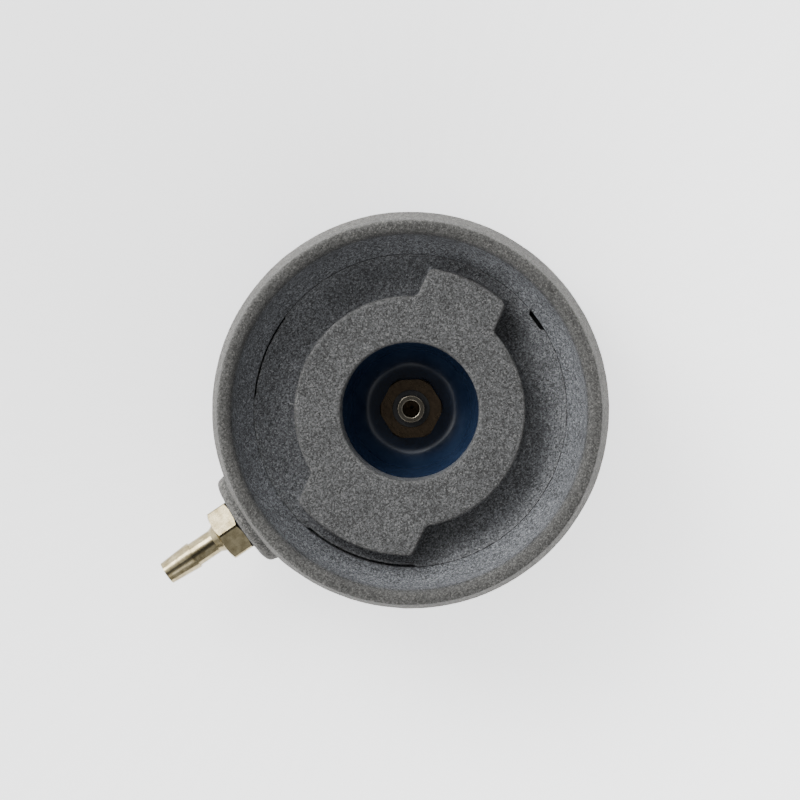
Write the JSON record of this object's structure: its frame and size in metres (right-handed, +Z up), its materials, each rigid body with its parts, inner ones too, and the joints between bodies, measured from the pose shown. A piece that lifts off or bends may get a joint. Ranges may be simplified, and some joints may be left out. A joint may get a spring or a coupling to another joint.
{
  "type": "air stone",
  "caption": "Round porous-stone pond air diffuser with a rimmed ring, a twist-out winged core, a sunken cup with a central gland tube, and a side hose barb.",
  "frame": {"origin": "on the disc's axis, in the plane of the foot ring's lower face", "axes": "+Z up along the disc's axis; the hose barb points along -X"},
  "size_m": [0.1611, 0.1288, 0.056],
  "materials": {
    "porous_stone": "coarse sintered mineral grain, matt, speckled grey",
    "blue_plastic": "glossy dark blue moulding",
    "black_plastic": "matt black moulding",
    "black_rubber": "satin black rubber",
    "brass": "turned brass, slightly dulled",
    "nickel_plate": "bright warm nickel plate on brass",
    "steel": "stainless, satin"
  },
  "bodies": {
    "diffuser_base": {"outer_ring": "porous_stone", "base_shell": "blue_plastic", "base_cover": "blue_plastic", "bayonet_ring": "black_plastic", "cover_gasket": "black_rubber", "ring_gasket_lower": "black_rubber", "ring_gasket_upper": "black_rubber", "foot_ring": "black_rubber", "gland_gasket": "black_rubber", "gland_seal": "black_rubber", "barb_washer": "black_rubber", "gland_body": "brass", "gland_nut": "brass", "lock_nut": "brass", "barb_insert": "brass", "cover_inserts": "brass", "tube_jet": "brass", "side_hose_barb": "nickel_plate", "centre_tube": "nickel_plate", "lock_washer": "steel", "cover_screws": "steel"},
    "twist_core": {"core_stone": "porous_stone", "core_carrier": "blue_plastic", "core_inner_seal": "black_rubber", "core_outer_seal": "black_rubber"}
  },
  "joints": [
    {"name": "core_twist", "type": "hinge", "parent": "diffuser_base", "child": "twist_core", "pos_m": [0, 0, 0.0314], "axis": [0, 0, 1], "range_deg": [0, 40]}
  ]
}
